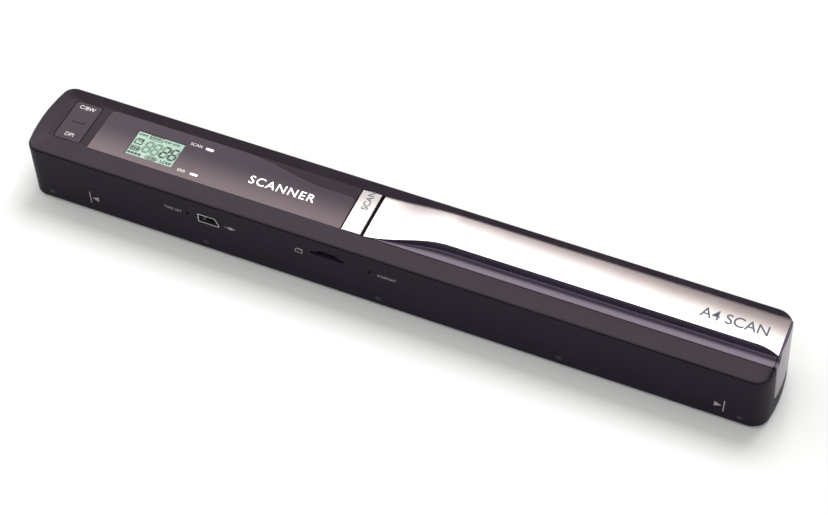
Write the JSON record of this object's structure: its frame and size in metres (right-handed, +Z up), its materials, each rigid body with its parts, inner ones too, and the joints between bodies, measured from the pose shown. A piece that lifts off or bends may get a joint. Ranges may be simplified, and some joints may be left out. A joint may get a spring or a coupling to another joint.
{
  "type": "handheld book scanner",
  "caption": "Slim hand-held wand scanner: dark bar with display window, rocker key, scan button and a raised mirror-trimmed grip, rolling on rubber tyres.",
  "frame": {"origin": "on the page under the middle of the bar, at the lowest point of the tyres", "axes": "+X along the bar towards the grip end, -Y towards the connector side, +Z up"},
  "size_m": [0.2574, 0.0302, 0.0313],
  "materials": {
    "lower_case": "fine satin paint",
    "upper_case": "metallic satin paint",
    "grip_gloss": "high gloss",
    "mirror_trim": "polished",
    "smoked_window": "gloss smoked lens",
    "lcd": "matt polariser",
    "light_pipe": "clear moulding",
    "button_silver": "satin silver",
    "key_plastic": "satin",
    "steel": "plain",
    "circuit_board": "solder mask",
    "black_plastic": "moulded",
    "white_plastic": "moulded",
    "rubber": "ground",
    "sensor_glass": "clear",
    "acetal": "natural",
    "cell_label": "shrink sleeve",
    "contact_metal": "nickel plated",
    "ribbon": "flexible film"
  },
  "bodies": {
    "case": {"lower_shell": "lower_case", "base_plate": "lower_case", "upper_shell": "upper_case", "grip_cover": "grip_gloss", "silver_trim": "mirror_trim", "display_window": "smoked_window", "lcd_glass": "lcd", "lcd_frame": "white_plastic", "light_pipes": "light_pipe", "status_leds": "white_plastic", "key_pin": "steel", "key_board": "circuit_board", "scan_board": "circuit_board", "tact_switches": "black_plastic", "main_board": "circuit_board", "reset_switches": "black_plastic", "usb_socket": "contact_metal", "card_socket": "steel", "processor_chip": "black_plastic", "memory_chip": "black_plastic", "clock_crystal": "steel", "ribbon_cable": "ribbon", "board_screws": "steel", "deck_screws": "steel", "sensor_glass": "sensor_glass", "sensor_housing": "black_plastic", "sensor_light_bar": "white_plastic", "rod_lens_array": "sensor_glass", "sensor_board": "circuit_board", "bearing_blocks": "acetal", "encoder_bracket": "black_plastic", "encoder_sensor": "black_plastic", "battery_tray": "black_plastic", "battery_cells": "cell_label", "battery_spring": "contact_metal", "battery_contacts": "contact_metal"},
    "scan_button": {"scan_button": "button_silver"},
    "mode_key": {"mode_key": "key_plastic"},
    "time_set_plunger": {"time_set_plunger": "white_plastic"},
    "format_plunger": {"format_plunger": "white_plastic"},
    "front_roller": {"front_shaft": "steel", "front_hubs": "acetal", "front_tyres": "rubber"},
    "rear_roller": {"rear_shaft": "steel", "rear_hubs": "acetal", "rear_tyres": "rubber", "shaft_pinion": "acetal"},
    "encoder": {"encoder_gear": "acetal", "encoder_disc": "black_plastic", "encoder_axle": "steel"},
    "battery_door": {"battery_door": "lower_case", "door_pin": "steel"}
  },
  "joints": [
    {"name": "scan_press", "type": "slide", "parent": "case", "child": "scan_button", "axis": [0, 0, -1], "range_m": [0, 0.0005], "stiffness_N_per_m": 4000},
    {"name": "mode_rock", "type": "hinge", "parent": "case", "child": "mode_key", "pos_m": [-0.11495, 0, 0.0229], "axis": [1, 0, 0], "range_deg": [-3, 3], "stiffness_Nm_per_rad": 0.6},
    {"name": "time_set_press", "type": "slide", "parent": "case", "child": "time_set_plunger", "axis": [0, 1, 0], "range_m": [0, 0.0003], "stiffness_N_per_m": 4000},
    {"name": "format_press", "type": "slide", "parent": "case", "child": "format_plunger", "axis": [0, 1, 0], "range_m": [0, 0.0003], "stiffness_N_per_m": 4000},
    {"name": "front_roll", "type": "hinge", "parent": "case", "child": "front_roller", "pos_m": [0, -0.009, 0.0034], "axis": [1, 0, 0], "continuous": true},
    {"name": "rear_roll", "type": "hinge", "parent": "case", "child": "rear_roller", "pos_m": [0, 0.009, 0.0034], "axis": [1, 0, 0], "continuous": true},
    {"name": "encoder_spin", "type": "hinge", "parent": "case", "child": "encoder", "pos_m": [-0.1202, 0.0074, 0.0084], "axis": [1, 0, 0], "continuous": true},
    {"name": "door_swing", "type": "hinge", "parent": "case", "child": "battery_door", "pos_m": [0.066, 0.01395, 0.0089], "axis": [-1, 0, 0], "range_deg": [0, 90]}
  ],
  "couplings": [
    {"joint": "encoder_spin", "follows": "rear_roll", "ratio": -0.5}
  ]
}
